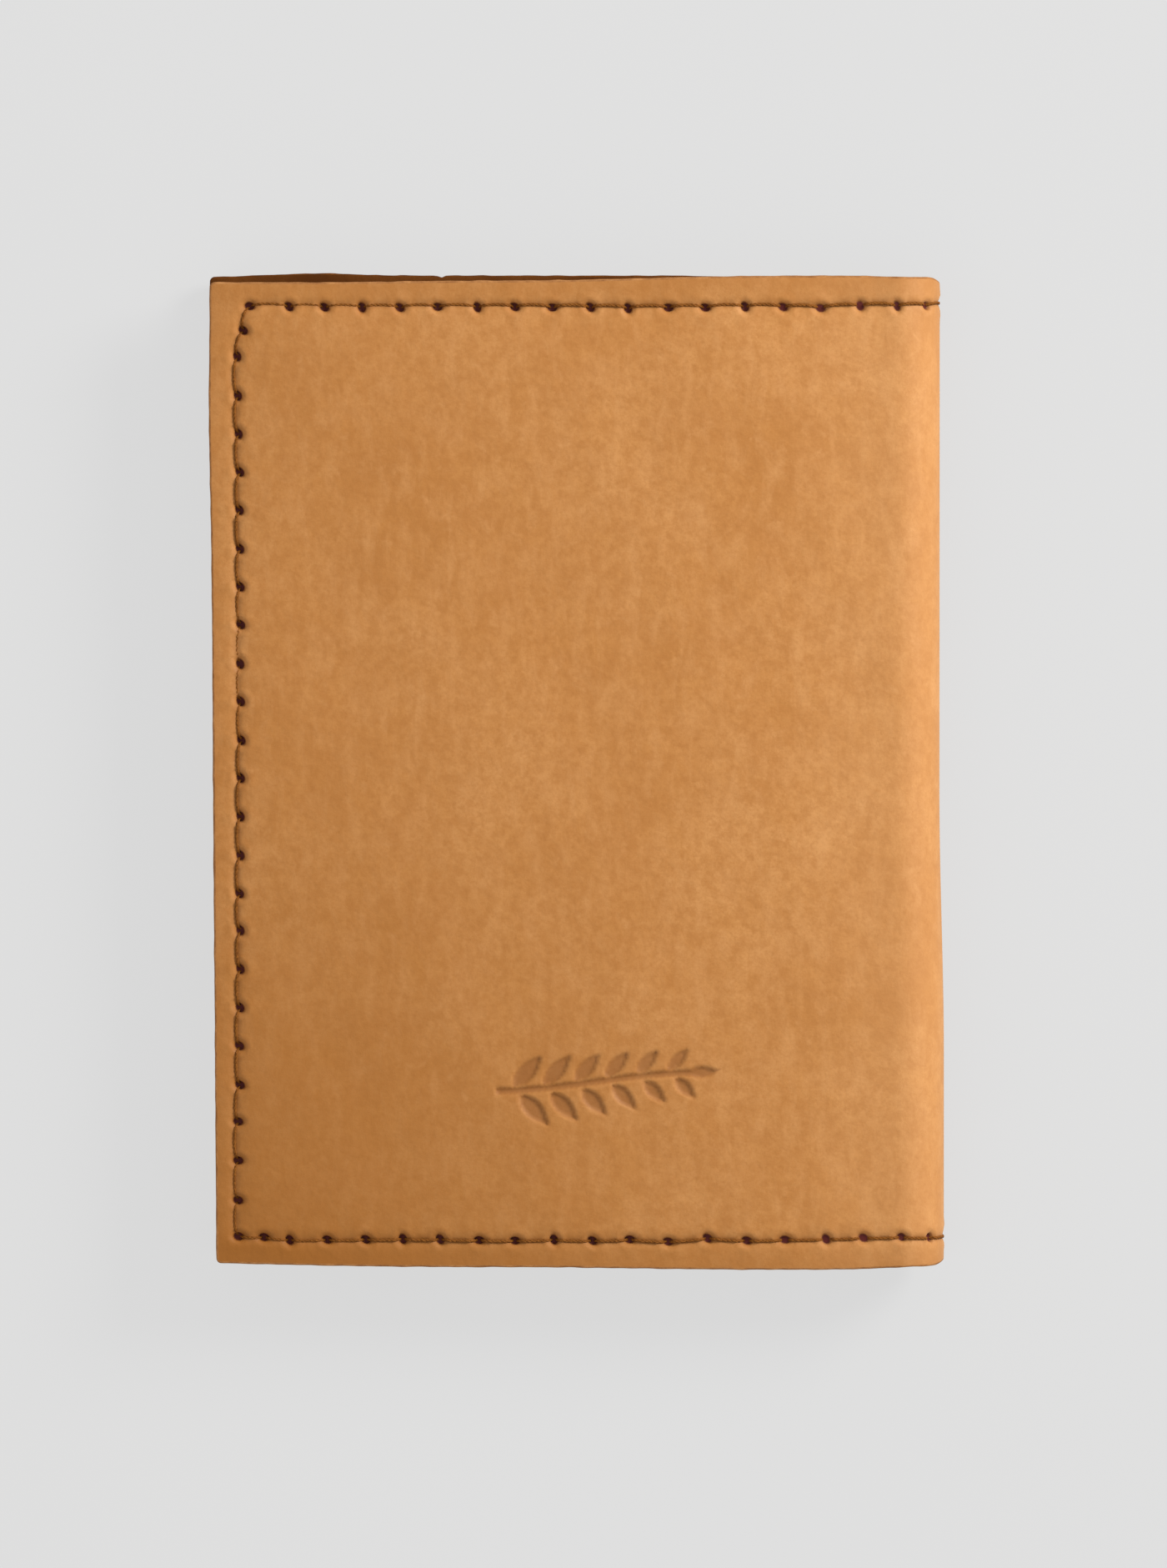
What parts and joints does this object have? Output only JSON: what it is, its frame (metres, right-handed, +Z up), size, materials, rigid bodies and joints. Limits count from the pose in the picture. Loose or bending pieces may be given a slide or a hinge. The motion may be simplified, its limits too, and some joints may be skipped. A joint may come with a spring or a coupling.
{
  "type": "card holder",
  "caption": "Book-style bifold leather card holder with a stitched edge and side-loading card slots in both halves; the two halves fold open on a soft spine.",
  "frame": {"origin": "under the middle of the closed holder, on the surface that it lies on", "axes": "+X from the open side to the fold, +Y towards the top of the standing holder, +Z up through the thickness from the front cover to the rear cover"},
  "size_m": [0.071, 0.096, 0.0097],
  "materials": {
    "cover_leather": "matte",
    "interior_leather": "matte",
    "thread": "matte"
  },
  "bodies": {
    "front_half": {"front_cover": "cover_leather", "front_lining": "interior_leather", "front_deep_pocket": "interior_leather", "front_deep_pocket_edge": "interior_leather", "front_shallow_pocket": "interior_leather", "front_shallow_pocket_edge": "interior_leather", "front_needle_thread": "thread", "front_bobbin_thread": "thread"},
    "spine": {"spine_cover": "cover_leather", "spine_lining": "interior_leather", "spine_needle_thread": "thread", "spine_bobbin_thread": "thread"},
    "rear_half": {"rear_cover": "cover_leather", "rear_lining": "interior_leather", "rear_deep_pocket": "interior_leather", "rear_deep_pocket_edge": "interior_leather", "rear_shallow_pocket": "interior_leather", "rear_shallow_pocket_edge": "interior_leather", "rear_needle_thread": "thread", "rear_bobbin_thread": "thread"}
  },
  "joints": [
    {"name": "front_fold", "type": "hinge", "parent": "front_half", "child": "spine", "pos_m": [0.03375, 0, 0.00175], "axis": [0, 1, 0], "range_deg": [0, 90]},
    {"name": "rear_fold", "type": "hinge", "parent": "spine", "child": "rear_half", "pos_m": [0.03375, 0, 0.00799], "axis": [0, 1, 0], "range_deg": [0, 90]}
  ],
  "couplings": [
    {"joint": "rear_fold", "follows": "front_fold", "ratio": 1}
  ]
}
